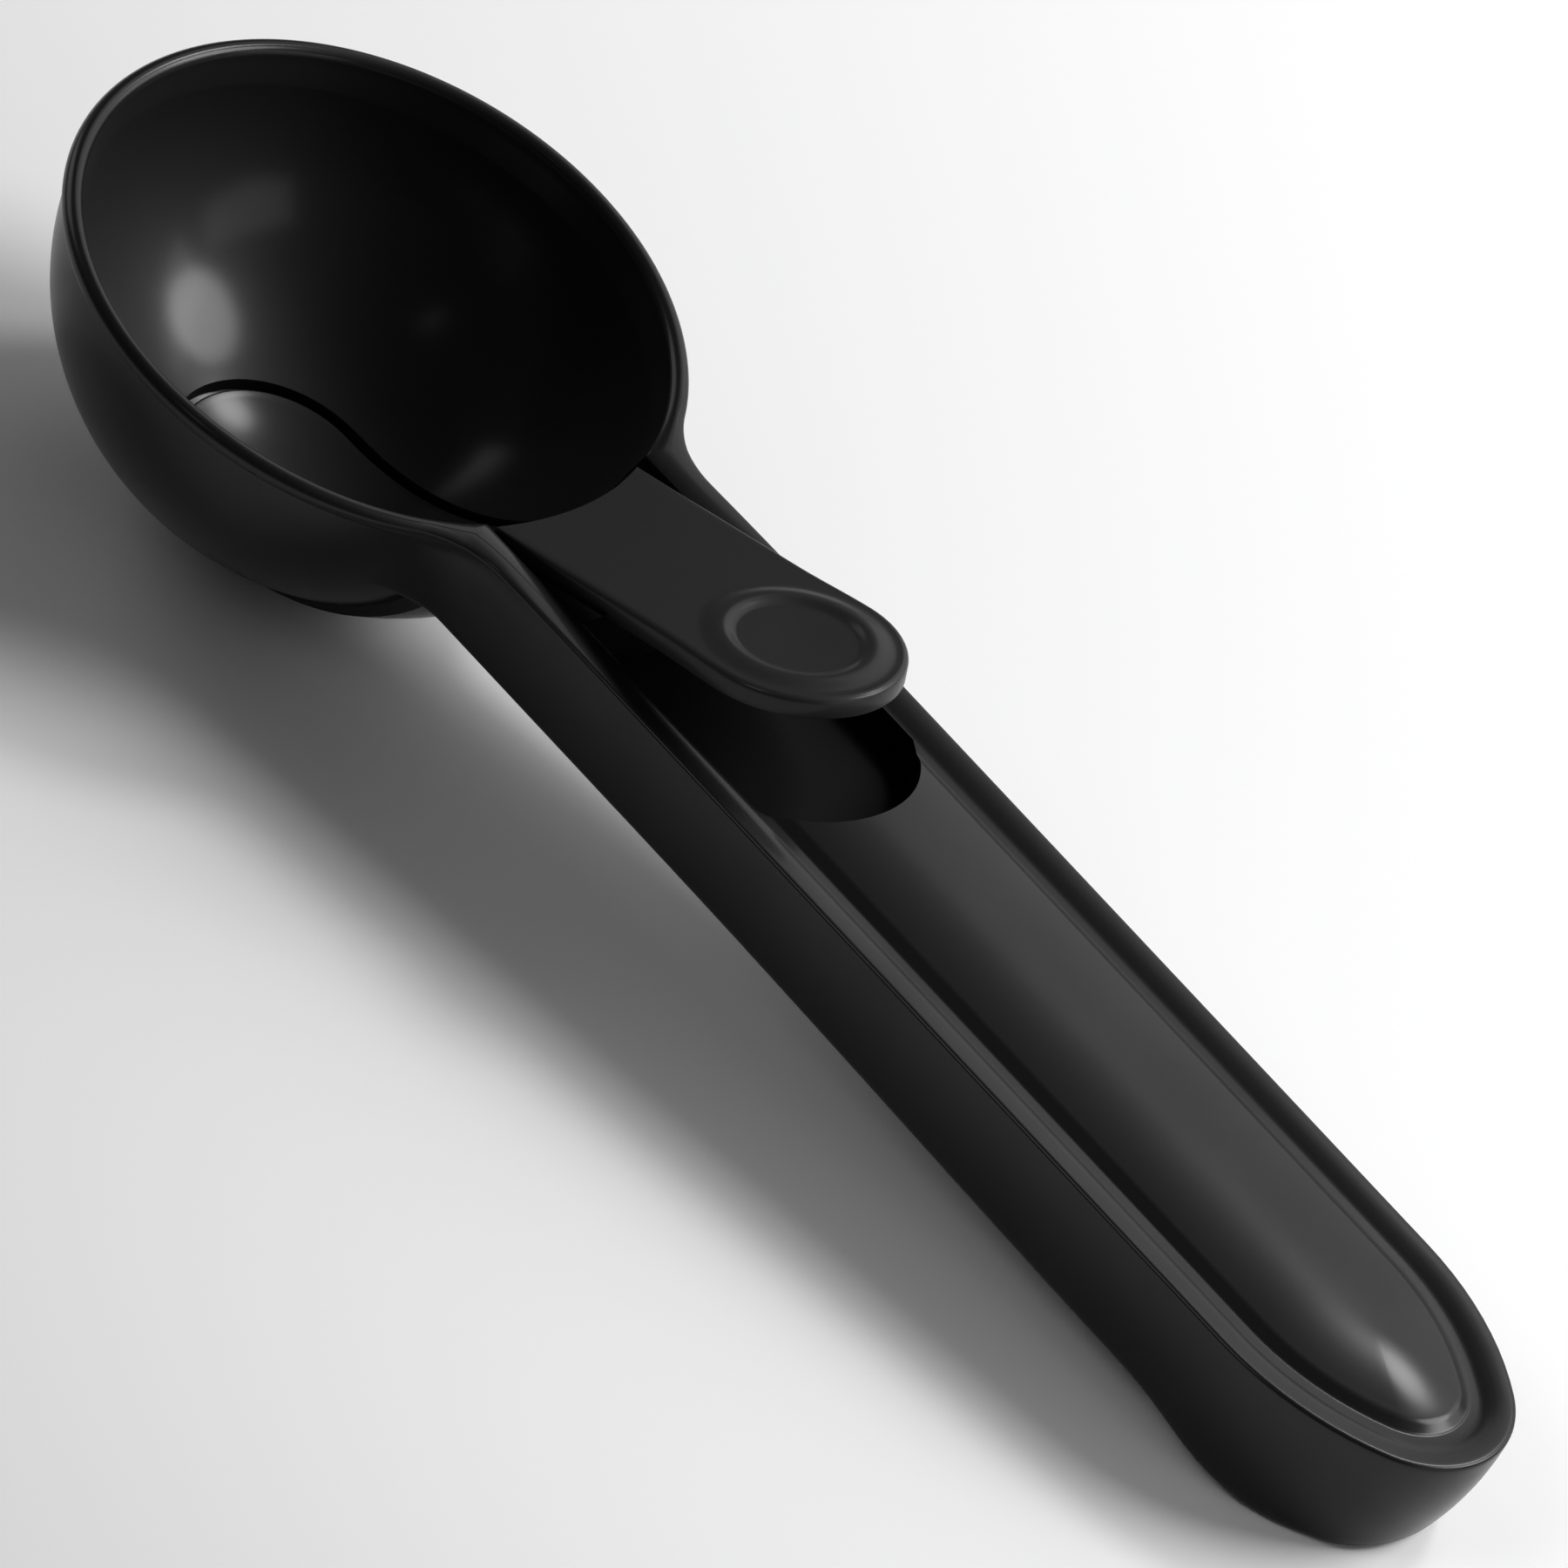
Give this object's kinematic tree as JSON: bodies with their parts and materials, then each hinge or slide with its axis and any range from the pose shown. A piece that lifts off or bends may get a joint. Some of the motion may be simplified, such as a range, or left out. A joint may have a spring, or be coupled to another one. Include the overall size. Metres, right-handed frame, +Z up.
{
  "type": "ice cream scoop",
  "caption": "Ice cream scoop with a round bowl and a long hollow handle; a thumb lever tips an ejector plate up out of the bowl's floor to release the ball.",
  "frame": {"origin": "on the table, under the middle of the scoop's length and width, as it lies on the bowl and the heel of the handle", "axes": "+X from the bowl to the tip of the handle, +Y to the left of somebody looking along +X, +Z up; the bowl's mouth opens upwards"},
  "size_m": [0.1892, 0.0634, 0.0338],
  "materials": {
    "body_plastic": "glossy moulded black",
    "lever_plastic": "glossy moulded black",
    "pin_steel": "turned, satin",
    "spring_steel": "drawn wire"
  },
  "bodies": {
    "scoop": {"scoop_body": "body_plastic", "pivot_pin": "pin_steel", "return_spring": "spring_steel"},
    "lever": {"thumb_lever": "lever_plastic"}
  },
  "joints": [
    {"name": "lever_pivot", "type": "hinge", "parent": "scoop", "child": "lever", "pos_m": [-0.02833, 0, 0.01956], "axis": [0, 1, 0], "range_deg": [0, 16], "stiffness_Nm_per_rad": 0.08, "springref_deg": -22.92, "deforming": ["return_spring"]}
  ]
}
